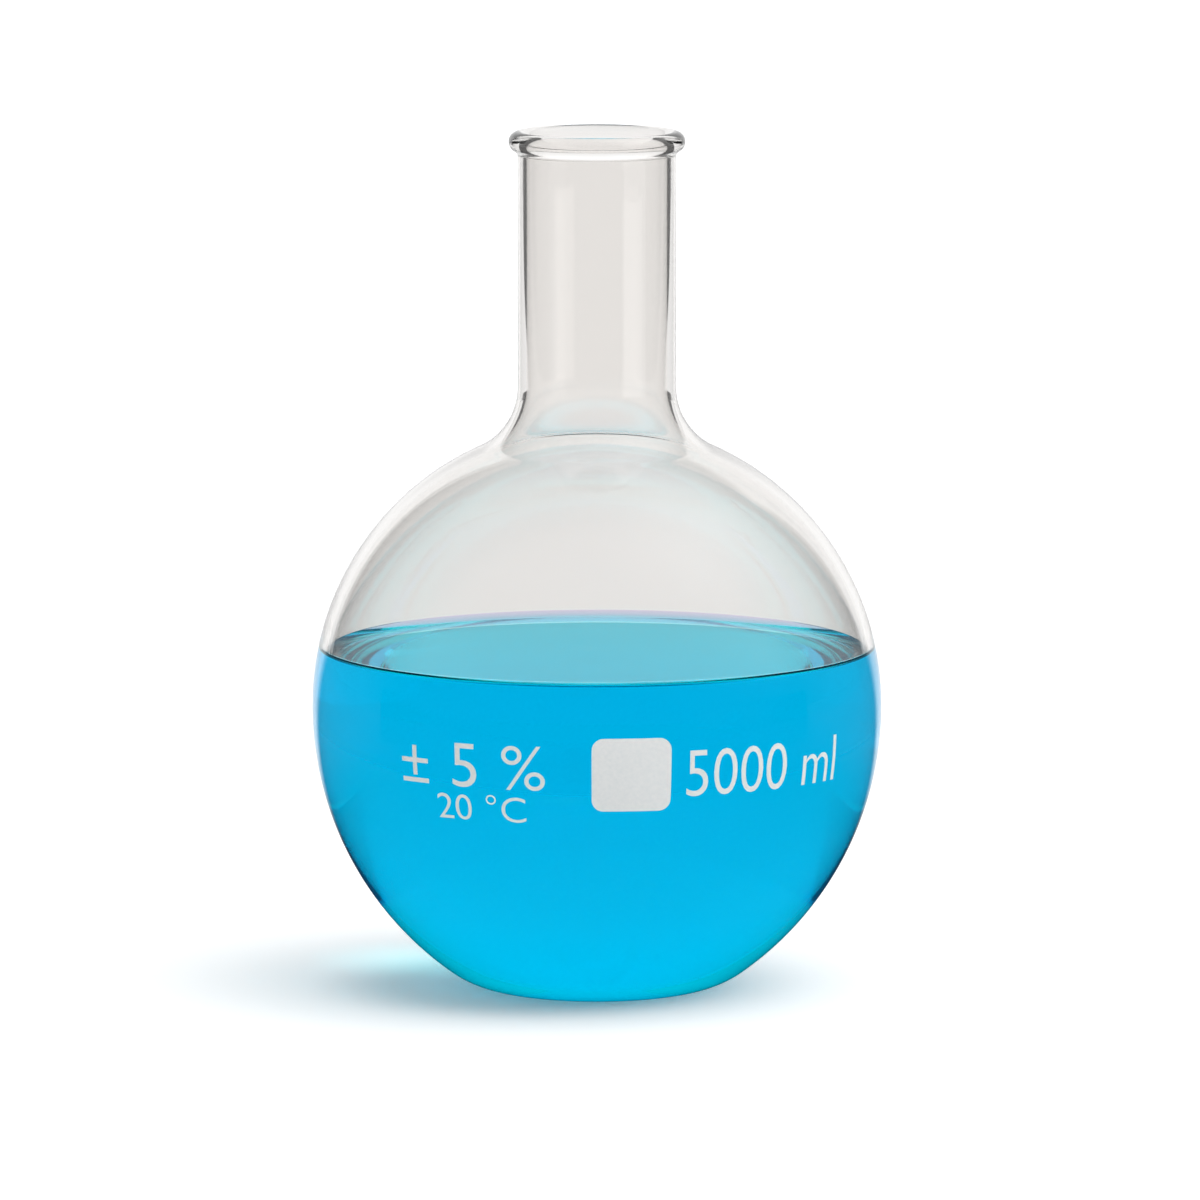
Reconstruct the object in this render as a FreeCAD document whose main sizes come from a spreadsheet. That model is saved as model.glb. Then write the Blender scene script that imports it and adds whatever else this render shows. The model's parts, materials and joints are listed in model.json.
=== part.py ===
import FreeCAD, Part
import math
import os

import Sketcher

# A blown laboratory flask with a flattened foot, a round body, a straight neck and a beaded rim, part
# filled with liquid. Millimetres, +Z up, origin at the middle of the foot, on the surface it stands on.
# Both solids are turned about the Z axis from a half section, whose first axis is the radius and whose
# second is the height.

# Driving sizes
SIZES = [
    ("body_diameter", 223.0, "outside width of the round body at its widest"),
    ("equator_height", 111.2, "height of the widest line; above it the body is part of a ball"),
    ("ball_wall", 3.4, "wall of the round body"),
    ("foot_diameter", 72.0, "outside diameter of the flat ring that the flask stands on"),
    ("foot_ring_width", 14.0, "width of the flat ring"),
    ("foot_kick", 2.0, "rise of the pushed-up middle of the foot"),
    ("foot_thickness", 5.0, "glass thickness at the middle of the foot"),
    ("floor_radius", 400.0, "outline radius of the gently domed floor inside"),
    ("heel_radius", 38.0, "outside rounding between foot and body"),
    ("shoulder_radius", 26.4, "outside hollow rounding between body and neck"),
    ("neck_diameter", 61.8, "outside diameter of the neck"),
    ("neck_wall", 3.5, "wall of the neck"),
    ("neck_length", 99.5, "from the end of the shoulder rounding up to the rim"),
    ("bead_overhang", 3.5, "how far the rim bead stands out from the neck"),
    ("bead_radius", 4.1, "outer rounding of the rim bead"),
    ("bead_root_radius", 2.0, "hollow rounding under the rim bead"),
    ("fill_height", 21.0, "liquid level above the widest line of the body"),
    ("meniscus_climb", 2.6, "how far the liquid climbs the wall above its level"),
    ("meniscus_radius", 4.6, "radius of the curved edge of the liquid"),
]
SIZE = {name: value for name, value, use in SIZES}

doc = FreeCAD.newDocument("flat_bottom_flask")
sheet = doc.addObject("Spreadsheet::Sheet", "Sizes")
for row, (name, value, use) in enumerate(SIZES, start=1):
    sheet.set(f"A{row}", name)
    sheet.set(f"B{row}", str(value))
    sheet.set(f"C{row}", use)
    sheet.setAlias(f"B{row}", name)
doc.recompute()

# How a sketch numbers the points of a stretch and its two axes, which cross at the origin
START, END, CENTRE = range(1, 4)
RADIUS_AXIS, TURNING_AXIS = range(-1, -3, -1)
ORIGIN = (RADIUS_AXIS, START)


def new_sketch(body, name):
    """A sketch on the body's own upright plane: radius across, height up."""
    sketch = body.newObject("Sketcher::SketchObject", name)
    plane = next(f for f in body.Origin.OriginFeatures if f.Role == "XZ_Plane")
    sketch.AttachmentSupport = [(plane, "")]
    sketch.MapMode = "FlatFace"
    return sketch


def add_line(sketch, first, last):
    """A straight stretch from one (radius, height) point to another."""
    line = Part.LineSegment(FreeCAD.Vector(*first, 0), FreeCAD.Vector(*last, 0))
    return sketch.addGeometry(line, False)


def add_arc(sketch, centre, radius, first_deg, last_deg):
    """A round stretch, counterclockwise from the first angle to the last."""
    circle = Part.Circle(FreeCAD.Vector(*centre, 0), FreeCAD.Vector(0, 0, 1), radius)
    arc = Part.ArcOfCircle(circle, math.radians(first_deg), math.radians(last_deg))
    return sketch.addGeometry(arc, False)


def tie(sketch, kind, *places):
    """A geometric rule, such as Tangent or Coincident, between places of the sketch."""
    sketch.addConstraint(Sketcher.Constraint(kind, *places))


def drive(sketch, name, kind, places, value, formula):
    """A dimension with a name of its own, bound to the driving sizes."""
    index = sketch.addConstraint(Sketcher.Constraint(kind, *places, value))
    sketch.renameConstraint(index, name)
    sketch.setExpression(f"Constraints.{name}", formula)


def polar(centre, radius, degrees):
    """The point at an angle on a circle."""
    angle = math.radians(degrees)
    return centre[0] + radius * math.cos(angle), centre[1] + radius * math.sin(angle)


def bearing(start, end):
    """The angle in degrees of the line from one point to another."""
    return math.degrees(math.atan2(end[1] - start[1], end[0] - start[0]))


# Where the arcs of the half section lie. The rules in the sketches fix them; these are their first places.
body_radius = SIZE["body_diameter"] / 2
foot_radius = SIZE["foot_diameter"] / 2
neck_radius = SIZE["neck_diameter"] / 2
bore_radius = neck_radius - SIZE["neck_wall"]
equator = SIZE["equator_height"]

ball_centre = (0.0, equator)
heel_inset = body_radius - foot_radius
heel_drop = equator - SIZE["heel_radius"]
lower_reach = heel_inset**2 + heel_drop**2 - SIZE["heel_radius"] ** 2
lower_radius = lower_reach / (2 * (heel_inset - SIZE["heel_radius"]))
lower_centre = (body_radius - lower_radius, equator)
heel_centre = (foot_radius, SIZE["heel_radius"])
heel_angle = bearing(lower_centre, heel_centre)

shoulder_reach = body_radius + SIZE["shoulder_radius"]
shoulder_across = neck_radius + SIZE["shoulder_radius"]
shoulder_centre = (shoulder_across, equator + math.sqrt(shoulder_reach**2 - shoulder_across**2))
shoulder_angle = bearing(ball_centre, shoulder_centre)

rim_height = shoulder_centre[1] + SIZE["neck_length"]
bead_across = neck_radius + SIZE["bead_overhang"] - SIZE["bead_radius"]
bead_centre = (bead_across, rim_height - SIZE["bead_radius"])
root_across = neck_radius + SIZE["bead_root_radius"]
root_reach = SIZE["bead_radius"] + SIZE["bead_root_radius"]
root_drop = math.sqrt(root_reach**2 - (root_across - bead_across) ** 2)
root_centre = (root_across, bead_centre[1] - root_drop)
root_angle = bearing(root_centre, bead_centre)
lip_radius = bead_across - bore_radius

# The pushed-up middle of the foot is a shallow dome, and the floor inside is a flatter one.
kick_edge = foot_radius - SIZE["foot_ring_width"]
kick_radius = (kick_edge**2 + SIZE["foot_kick"] ** 2) / (2 * SIZE["foot_kick"])
kick_centre = (0.0, SIZE["foot_kick"] - kick_radius)
floor_height = SIZE["foot_kick"] + SIZE["foot_thickness"]
floor_centre = (0.0, floor_height - SIZE["floor_radius"])


def inner_heel():
    """Centre of the rounding inside the heel, which touches the domed floor and the body's wall."""
    reach_floor = SIZE["floor_radius"] + SIZE["heel_radius"] - SIZE["ball_wall"]
    reach_wall = lower_radius - SIZE["heel_radius"]
    gap_across = lower_centre[0] - floor_centre[0]
    gap_up = lower_centre[1] - floor_centre[1]
    gap = math.hypot(gap_across, gap_up)
    along = (reach_floor**2 - reach_wall**2 + gap**2) / (2 * gap)
    aside = math.sqrt(reach_floor**2 - along**2)
    across = floor_centre[0] + (along * gap_across + aside * gap_up) / gap
    up = floor_centre[1] + (along * gap_up - aside * gap_across) / gap
    return across, up


inner_heel_centre = inner_heel()
inner_heel_radius = SIZE["heel_radius"] - SIZE["ball_wall"]
inner_heel_angle = bearing(lower_centre, inner_heel_centre)
floor_angle = bearing(floor_centre, inner_heel_centre)

# Sizes that both sketches use, as formulas on the sheet
BODY_RADIUS = "Sizes.body_diameter / 2"
FOOT_RADIUS = "Sizes.foot_diameter / 2"
BORE_RADIUS = "Sizes.neck_diameter / 2 - Sizes.neck_wall"
HEEL_INSET = f"({BODY_RADIUS} - {FOOT_RADIUS})"
HEEL_DROP = "(Sizes.equator_height - Sizes.heel_radius)"
LOWER_RADIUS = (
    f"({HEEL_INSET}^2 + {HEEL_DROP}^2 - Sizes.heel_radius^2) / (2 * ({HEEL_INSET} - Sizes.heel_radius))"
)
FLOOR_HEIGHT = "Sizes.foot_kick + Sizes.foot_thickness"


def revolve(body, sketch, name):
    """A full turn of the half section about the height axis."""
    turned = body.newObject("PartDesign::Revolution", name)
    turned.Profile = sketch
    turned.ReferenceAxis = (sketch, ["V_Axis"])
    turned.Angle = 360
    sketch.Visibility = False
    return turned


# The glass: one closed half section, from the foot up the outside, over the rim and down the inside
def make_flask():
    body = doc.addObject("PartDesign::Body", "Flask")
    body.Label = "flask"
    body.Placement = FreeCAD.Placement()
    sketch = new_sketch(body, "FlaskSection")

    kick = add_arc(sketch, kick_centre, kick_radius, bearing(kick_centre, (kick_edge, 0)), 90)
    ring = add_line(sketch, (kick_edge, 0), (foot_radius, 0))
    heel = add_arc(sketch, heel_centre, SIZE["heel_radius"], -90, heel_angle)
    lower = add_arc(sketch, lower_centre, lower_radius, heel_angle, 0)
    crown = add_arc(sketch, ball_centre, body_radius, 0, shoulder_angle)
    shoulder = add_arc(sketch, shoulder_centre, SIZE["shoulder_radius"], 180, shoulder_angle + 180)
    neck = add_line(sketch, (neck_radius, shoulder_centre[1]), (neck_radius, root_centre[1]))
    root = add_arc(sketch, root_centre, SIZE["bead_root_radius"], root_angle, 180)
    bead = add_arc(sketch, bead_centre, SIZE["bead_radius"], root_angle - 180, 90)
    lip = add_arc(sketch, (bead_across, rim_height - lip_radius), lip_radius, 90, 180)
    bore = add_line(sketch, (bore_radius, rim_height - lip_radius), (bore_radius, shoulder_centre[1]))

    wall = SIZE["ball_wall"]
    hollow_radius = SIZE["shoulder_radius"] + wall
    hollow_centre = (bore_radius + hollow_radius, shoulder_centre[1])
    hollow = add_arc(sketch, hollow_centre, hollow_radius, 180, shoulder_angle + 180)
    inner_crown = add_arc(sketch, ball_centre, body_radius - wall, 0, shoulder_angle)
    inner_lower = add_arc(sketch, lower_centre, lower_radius - wall, inner_heel_angle, 0)
    inner_round = add_arc(sketch, inner_heel_centre, inner_heel_radius, floor_angle - 180, inner_heel_angle)
    floor = add_arc(sketch, floor_centre, SIZE["floor_radius"], floor_angle, 90)
    middle = add_line(sketch, (0, floor_height), (0, SIZE["foot_kick"]))

    # Outside, from the foot to the rim: every stretch but the edge of the kick runs smoothly into the next.
    tie(sketch, "Coincident", kick, START, ring, START)
    tie(sketch, "PointOnObject", kick, CENTRE, TURNING_AXIS)
    tie(sketch, "PointOnObject", ring, START, RADIUS_AXIS)
    tie(sketch, "PointOnObject", ring, END, RADIUS_AXIS)
    tie(sketch, "Tangent", ring, END, heel, START)
    tie(sketch, "Tangent", heel, END, lower, START)
    tie(sketch, "Tangent", lower, END, crown, START)
    tie(sketch, "Horizontal", crown, CENTRE, crown, START)
    tie(sketch, "PointOnObject", crown, CENTRE, TURNING_AXIS)
    tie(sketch, "Tangent", crown, END, shoulder, END)
    tie(sketch, "Tangent", shoulder, START, neck, START)
    tie(sketch, "Vertical", neck)
    tie(sketch, "Tangent", neck, END, root, END)
    tie(sketch, "Tangent", root, START, bead, START)
    tie(sketch, "Vertical", bead, CENTRE, bead, END)
    tie(sketch, "Tangent", bead, END, lip, START)
    tie(sketch, "Tangent", lip, END, bore, START)

    # Inside, from the rim down to the floor: the body's arcs share their centres with the outside.
    tie(sketch, "Vertical", bore)
    tie(sketch, "Tangent", bore, END, hollow, START)
    tie(sketch, "Tangent", hollow, END, inner_crown, END)
    tie(sketch, "Coincident", inner_crown, CENTRE, crown, CENTRE)
    tie(sketch, "Tangent", inner_crown, START, inner_lower, END)
    tie(sketch, "Coincident", inner_lower, CENTRE, lower, CENTRE)
    tie(sketch, "Tangent", inner_lower, START, inner_round, END)
    tie(sketch, "Tangent", inner_round, START, floor, START)
    tie(sketch, "PointOnObject", floor, CENTRE, TURNING_AXIS)
    tie(sketch, "Coincident", floor, END, middle, START)
    tie(sketch, "Coincident", middle, END, kick, END)
    tie(sketch, "PointOnObject", middle, START, TURNING_AXIS)
    tie(sketch, "PointOnObject", middle, END, TURNING_AXIS)

    drive(
        sketch, "kick_edge", "DistanceX", (*ORIGIN, ring, START), kick_edge,
        f"{FOOT_RADIUS} - Sizes.foot_ring_width",
    )
    drive(sketch, "foot_radius", "DistanceX", (*ORIGIN, ring, END), foot_radius, FOOT_RADIUS)
    drive(sketch, "foot_kick", "DistanceY", (*ORIGIN, kick, END), SIZE["foot_kick"], "Sizes.foot_kick")
    drive(sketch, "heel_radius", "Radius", (heel,), SIZE["heel_radius"], "Sizes.heel_radius")
    drive(sketch, "body_radius", "DistanceX", (*ORIGIN, crown, START), body_radius, BODY_RADIUS)
    drive(sketch, "equator_height", "DistanceY", (*ORIGIN, crown, START), equator, "Sizes.equator_height")
    drive(sketch, "shoulder_radius", "Radius", (shoulder,), SIZE["shoulder_radius"], "Sizes.shoulder_radius")
    drive(sketch, "neck_radius", "DistanceX", (*ORIGIN, neck, START), neck_radius, "Sizes.neck_diameter / 2")
    drive(
        sketch, "neck_length", "DistanceY", (neck, START, bead, END), SIZE["neck_length"],
        "Sizes.neck_length",
    )
    drive(sketch, "root_radius", "Radius", (root,), SIZE["bead_root_radius"], "Sizes.bead_root_radius")
    drive(sketch, "bead_radius", "Radius", (bead,), SIZE["bead_radius"], "Sizes.bead_radius")
    drive(
        sketch, "bead_centre", "DistanceX", (*ORIGIN, bead, CENTRE), bead_across,
        "Sizes.neck_diameter / 2 + Sizes.bead_overhang - Sizes.bead_radius",
    )
    drive(sketch, "bore_radius", "DistanceX", (*ORIGIN, bore, START), bore_radius, BORE_RADIUS)
    drive(
        sketch, "hollow_radius", "Radius", (hollow,), hollow_radius,
        "Sizes.shoulder_radius + Sizes.ball_wall",
    )
    drive(
        sketch, "inner_ball_radius", "Radius", (inner_crown,), body_radius - wall,
        f"{BODY_RADIUS} - Sizes.ball_wall",
    )
    drive(
        sketch, "inner_heel_radius", "Radius", (inner_round,), inner_heel_radius,
        "Sizes.heel_radius - Sizes.ball_wall",
    )
    drive(sketch, "floor_height", "DistanceY", (*ORIGIN, floor, END), floor_height, FLOOR_HEIGHT)
    drive(sketch, "floor_radius", "Radius", (floor,), SIZE["floor_radius"], "Sizes.floor_radius")
    revolve(body, sketch, "BlownGlass")
    return body, sketch


# The liquid: it fills the body up to its level, against the glass all round, and its edge climbs the wall
def make_liquid():
    body = doc.addObject("PartDesign::Body", "Liquid")
    body.Label = "liquid"
    body.Placement = FreeCAD.Placement()
    sketch = new_sketch(body, "LiquidSection")

    wall = SIZE["ball_wall"]
    level = equator + SIZE["fill_height"]
    wall_radius = body_radius - wall
    contact_rise = SIZE["fill_height"] + SIZE["meniscus_climb"]
    contact_angle = math.degrees(math.asin(contact_rise / wall_radius))
    contact = polar(ball_centre, wall_radius, contact_angle)
    climb_drop = SIZE["meniscus_radius"] - SIZE["meniscus_climb"]
    edge_across = contact[0] - math.sqrt(SIZE["meniscus_radius"] ** 2 - climb_drop**2)
    edge_centre = (edge_across, level + SIZE["meniscus_radius"])

    floor = add_arc(sketch, floor_centre, SIZE["floor_radius"], floor_angle, 90)
    heel = add_arc(sketch, inner_heel_centre, inner_heel_radius, floor_angle - 180, inner_heel_angle)
    lower = add_arc(sketch, lower_centre, lower_radius - wall, inner_heel_angle, 0)
    crown = add_arc(sketch, ball_centre, wall_radius, 0, contact_angle)
    edge_angle = bearing(edge_centre, contact)
    meniscus = add_arc(sketch, edge_centre, SIZE["meniscus_radius"], -90, edge_angle)
    surface = add_line(sketch, (edge_across, level), (0, level))
    middle = add_line(sketch, (0, level), (0, floor_height))

    tie(sketch, "PointOnObject", floor, CENTRE, TURNING_AXIS)
    tie(sketch, "Tangent", floor, START, heel, START)
    tie(sketch, "Tangent", heel, END, lower, START)
    tie(sketch, "Tangent", lower, END, crown, START)
    tie(sketch, "Horizontal", crown, CENTRE, crown, START)
    tie(sketch, "PointOnObject", crown, CENTRE, TURNING_AXIS)
    tie(sketch, "Coincident", crown, END, meniscus, END)
    tie(sketch, "Tangent", meniscus, START, surface, START)
    tie(sketch, "Horizontal", surface)
    tie(sketch, "Coincident", surface, END, middle, START)
    tie(sketch, "Coincident", middle, END, floor, END)
    tie(sketch, "PointOnObject", middle, START, TURNING_AXIS)
    tie(sketch, "PointOnObject", middle, END, TURNING_AXIS)

    drive(sketch, "floor_height", "DistanceY", (*ORIGIN, floor, END), floor_height, FLOOR_HEIGHT)
    drive(sketch, "floor_radius", "Radius", (floor,), SIZE["floor_radius"], "Sizes.floor_radius")
    drive(
        sketch, "heel_radius", "Radius", (heel,), inner_heel_radius,
        "Sizes.heel_radius - Sizes.ball_wall",
    )
    drive(
        sketch, "lower_radius", "Radius", (lower,), lower_radius - wall,
        f"{LOWER_RADIUS} - Sizes.ball_wall",
    )
    drive(sketch, "ball_radius", "Radius", (crown,), wall_radius, f"{BODY_RADIUS} - Sizes.ball_wall")
    drive(sketch, "equator_height", "DistanceY", (*ORIGIN, crown, START), equator, "Sizes.equator_height")
    drive(
        sketch, "liquid_level", "DistanceY", (*ORIGIN, surface, START), level,
        "Sizes.equator_height + Sizes.fill_height",
    )
    drive(
        sketch, "meniscus_climb", "DistanceY", (meniscus, START, meniscus, END),
        SIZE["meniscus_climb"], "Sizes.meniscus_climb",
    )
    drive(sketch, "meniscus_radius", "Radius", (meniscus,), SIZE["meniscus_radius"], "Sizes.meniscus_radius")
    revolve(body, sketch, "Fill")
    return body, sketch


flask, flask_section = make_flask()
liquid, liquid_section = make_liquid()
doc.recompute()

# Nothing is written unless the whole model is sound.
for item in doc.Objects:
    if "Invalid" in item.State or "Error" in item.State:
        raise RuntimeError(f"{item.Name} did not build: {item.State}")
for section in (flask_section, liquid_section):
    if not section.FullyConstrained:
        raise RuntimeError(f"{section.Name} has free dimensions")
for body in (flask, liquid):
    if body.Shape.isNull() or not body.Shape.isValid() or len(body.Shape.Solids) != 1:
        raise RuntimeError(f"{body.Label} is not one sound solid")

os.makedirs("parts", exist_ok=True)
for body in (flask, liquid):
    body.Shape.exportStep(f"parts/{body.Label}.step")
    box = body.Shape.optimalBoundingBox(False)
    print(
        f"{body.Label}: {body.Shape.Volume / 1000:.1f} ml of solid, "
        f"width {box.XLength:.2f}, height {box.ZMin:.2f} to {box.ZMax:.2f} mm"
    )
print(f"rim height {rim_height:.2f}, bore radius {bore_radius:.2f}, lower outline radius {lower_radius:.2f}")
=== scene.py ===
# %% [markdown]
# A flat bottom flask, part filled with blue liquid, on a white table.
# The model comes in with its two solids in place: the blown glass and the liquid. This lesson turns both
# again as smooth meshes, prints the white marks on the front, and lights the glass so that its edges show.

# %% Load the solids
import json
import math

import bpy
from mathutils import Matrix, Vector

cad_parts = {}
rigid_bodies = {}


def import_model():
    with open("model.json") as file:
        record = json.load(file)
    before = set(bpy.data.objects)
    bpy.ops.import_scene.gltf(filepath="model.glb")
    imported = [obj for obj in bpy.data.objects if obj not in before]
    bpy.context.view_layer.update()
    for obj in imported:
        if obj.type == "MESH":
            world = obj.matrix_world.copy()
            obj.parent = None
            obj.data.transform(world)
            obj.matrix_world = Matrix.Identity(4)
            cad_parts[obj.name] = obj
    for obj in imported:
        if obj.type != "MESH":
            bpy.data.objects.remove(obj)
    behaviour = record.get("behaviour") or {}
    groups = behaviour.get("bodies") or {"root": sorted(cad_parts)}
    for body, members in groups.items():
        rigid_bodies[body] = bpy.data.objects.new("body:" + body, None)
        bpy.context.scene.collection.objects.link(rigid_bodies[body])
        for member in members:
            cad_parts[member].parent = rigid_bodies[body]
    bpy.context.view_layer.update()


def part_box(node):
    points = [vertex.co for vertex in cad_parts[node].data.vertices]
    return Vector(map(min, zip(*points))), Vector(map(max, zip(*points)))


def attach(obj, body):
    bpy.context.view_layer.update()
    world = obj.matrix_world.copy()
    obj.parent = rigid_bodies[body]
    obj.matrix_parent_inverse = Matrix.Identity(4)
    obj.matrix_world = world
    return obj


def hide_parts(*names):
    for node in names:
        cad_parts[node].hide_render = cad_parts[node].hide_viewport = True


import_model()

flask_low, flask_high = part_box("flask")
print("flask box in mm", [round(1000 * v, 2) for v in (*flask_low, *flask_high)])

# %% [markdown]
# Sizes come first. The overall ones are read from the solids, so the finish always fits them. The others are
# the walls and roundings of the real flask, in metres, and the rest follows from them. The glass is made a
# little smaller than the solid, so that the coat of enamel on its front still fits inside.

# %% Sizes of the flask
MM = 0.001
ENAMEL_ROOM = 0.12 * MM
RIM_ROOM = 0.01 * MM
BODY_RADIUS = min(flask_high[0] - flask_low[0], flask_high[1] - flask_low[1]) / 2 - ENAMEL_ROOM
RIM_HEIGHT = flask_high[2] - flask_low[2] - RIM_ROOM
EQUATOR_HEIGHT = 111.2 * MM
BALL_WALL = 3.4 * MM
FOOT_RADIUS = 36.0 * MM
FOOT_RING = 14.0 * MM
FOOT_KICK = 2.0 * MM
FOOT_GLASS = 5.0 * MM
FLOOR_DOME = 400.0 * MM
HEEL_RADIUS = 38.0 * MM
SHOULDER_RADIUS = 26.4 * MM
NECK_RADIUS = 30.9 * MM
NECK_WALL = 3.5 * MM
BEAD_OVERHANG = 3.5 * MM
BEAD_RADIUS = 4.1 * MM
ROOT_RADIUS = 2.0 * MM
FILL_HEIGHT = 21.0 * MM
MENISCUS_CLIMB = 2.6 * MM
MENISCUS_RADIUS = 4.6 * MM
print("body radius", round(BODY_RADIUS / MM, 2), "mm, rim at", round(RIM_HEIGHT / MM, 2), "mm")

# %% [markdown]
# Two arcs run on without a kink when their centres and the place where they meet are in one line. That gives
# every centre from the sizes above. The outside comes first, then the foot and the inside.

# %% Where the arcs outside have their centres
bore_radius = NECK_RADIUS - NECK_WALL
ball_centre = (0.0, EQUATOR_HEIGHT)
inset = BODY_RADIUS - FOOT_RADIUS
drop = EQUATOR_HEIGHT - HEEL_RADIUS
lower_radius = (inset**2 + drop**2 - HEEL_RADIUS**2) / (2 * (inset - HEEL_RADIUS))
lower_centre = (BODY_RADIUS - lower_radius, EQUATOR_HEIGHT)
heel_centre = (FOOT_RADIUS, HEEL_RADIUS)


def shoulder_point(across, reach):
    """Centre of a shoulder arc that touches the ball and the neck."""
    return across, EQUATOR_HEIGHT + math.sqrt(reach**2 - across**2)


hollow_radius = SHOULDER_RADIUS + BALL_WALL
inner_radius = BODY_RADIUS - BALL_WALL
shoulder_centre = shoulder_point(NECK_RADIUS + SHOULDER_RADIUS, BODY_RADIUS + SHOULDER_RADIUS)
hollow_centre = shoulder_point(bore_radius + hollow_radius, inner_radius + hollow_radius)
bead_centre = (NECK_RADIUS + BEAD_OVERHANG - BEAD_RADIUS, RIM_HEIGHT - BEAD_RADIUS)
root_across = NECK_RADIUS + ROOT_RADIUS - bead_centre[0]
root_drop = math.sqrt((BEAD_RADIUS + ROOT_RADIUS) ** 2 - root_across**2)
root_centre = (NECK_RADIUS + ROOT_RADIUS, bead_centre[1] - root_drop)
lip_radius = bead_centre[0] - bore_radius
lip_centre = (bead_centre[0], RIM_HEIGHT - lip_radius)
print("lower body radius", round(lower_radius / MM, 2), "mm")
print("shoulder ends at", round(shoulder_centre[1] / MM, 2), "mm")

# %% Where the arcs of the foot and the inside have their centres
kick_edge = FOOT_RADIUS - FOOT_RING
kick_radius = (kick_edge**2 + FOOT_KICK**2) / (2 * FOOT_KICK)
kick_centre = (0.0, FOOT_KICK - kick_radius)
floor_centre = (0.0, FOOT_KICK + FOOT_GLASS - FLOOR_DOME)


def bearing(start, end):
    """The angle in degrees from one (radius, height) point to another."""
    return math.degrees(math.atan2(end[1] - start[1], end[0] - start[0]))


def meeting(first, first_reach, second, second_reach):
    """The lower right one of the two points at given reaches from two centres."""
    across, up = second[0] - first[0], second[1] - first[1]
    gap = math.hypot(across, up)
    along = (first_reach**2 - second_reach**2 + gap**2) / (2 * gap)
    aside = math.sqrt(first_reach**2 - along**2)
    return first[0] + (along * across + aside * up) / gap, first[1] + (along * up - aside * across) / gap


inner_heel_radius = HEEL_RADIUS - BALL_WALL
inner_heel_reach = FLOOR_DOME + inner_heel_radius
inner_heel_centre = meeting(floor_centre, inner_heel_reach, lower_centre, lower_radius - HEEL_RADIUS)
print("inner heel centre", [round(v / MM, 2) for v in inner_heel_centre], "mm")

# %% [markdown]
# Blown glass of this kind is round about one axis, so the natural way to make it is the way a lathe or a
# mould does: draw half of the section, then spin it all the way round. The section is drawn here as by hand,
# with one vertex that is extruded along the straight stretches and spun about an arc's centre along the
# round ones. A round stretch then leaves where the last one ended, and the bend runs on without a kink.

# %% Drawing a section with one vertex
SHARP_ANGLE = math.radians(40)
SEAM_GAP = 0.004 * MM


def deselect():
    """Nothing selected, so the next operator touches only what it is given."""
    for item in bpy.context.view_layer.objects:
        item.select_set(False)


def start_section(name, radius, height):
    """A new mesh with one vertex at a radius and a height, in edit mode."""
    deselect()
    bpy.ops.mesh.primitive_plane_add(size=MM, location=(0, 0, 0))
    piece = bpy.context.object
    piece.name = name
    bpy.ops.object.mode_set(mode="EDIT")
    bpy.ops.mesh.select_all(action="SELECT")
    bpy.ops.mesh.merge(type="CENTER")
    bpy.ops.transform.translate(value=(radius, 0, height))
    return piece


def draw_line(across, up, steps):
    """Extrudes the vertex along a straight stretch."""
    for step in range(steps):
        bpy.ops.mesh.extrude_region_move(TRANSFORM_OT_translate={"value": (across / steps, 0, up / steps)})


def draw_arc(centre, degrees, steps):
    """Spins the vertex about an arc's centre, counterclockwise for a positive turn."""
    pivot = (centre[0], 0, centre[1])
    bpy.ops.mesh.spin(steps=steps, angle=math.radians(degrees), center=pivot, axis=(0, 1, 0))


def spin_section(piece, segments):
    """Spins the whole section round the upright axis, and closes seam and poles."""
    bpy.ops.mesh.select_all(action="SELECT")
    bpy.ops.mesh.spin(steps=segments, angle=math.tau, center=(0, 0, 0), axis=(0, 0, 1))
    bpy.ops.mesh.select_all(action="SELECT")
    bpy.ops.mesh.remove_doubles(threshold=SEAM_GAP)
    bpy.ops.mesh.normals_make_consistent(inside=False)
    bpy.ops.object.mode_set(mode="OBJECT")
    bpy.ops.object.shade_smooth_by_angle(angle=SHARP_ANGLE)
    print(piece.name, len(piece.data.vertices), "vertices,", len(piece.data.polygons), "faces")


# %% [markdown]
# The glass is one closed skin: from the middle of the foot out over the ring and heel, up the body, over the
# shoulder, up the neck, round the bead, and down again inside with the wall between. Long bends get many
# steps, because every facet would show where light bends through it.

# %% The blown glass
SEGMENTS = 192
DOME_STEPS = 12
RING_STEPS = 4
HEEL_STEPS = 20
BODY_STEPS = 48
CROWN_STEPS = 60
SHOULDER_STEPS = 44
NECK_STEPS = 6
ROOT_STEPS = 8
BEAD_STEPS = 22
LIP_STEPS = 12
INNER_STEPS = 46
WETTED_STEPS = 14
heel_angle = bearing(lower_centre, heel_centre)
shoulder_angle = bearing(ball_centre, shoulder_centre)
hollow_angle = bearing(ball_centre, hollow_centre)
root_angle = bearing(root_centre, bead_centre)
inner_heel_angle = bearing(lower_centre, inner_heel_centre)
floor_angle = bearing(floor_centre, inner_heel_centre)
contact_rise = FILL_HEIGHT + MENISCUS_CLIMB
contact_angle = math.degrees(math.asin(contact_rise / inner_radius))

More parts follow.
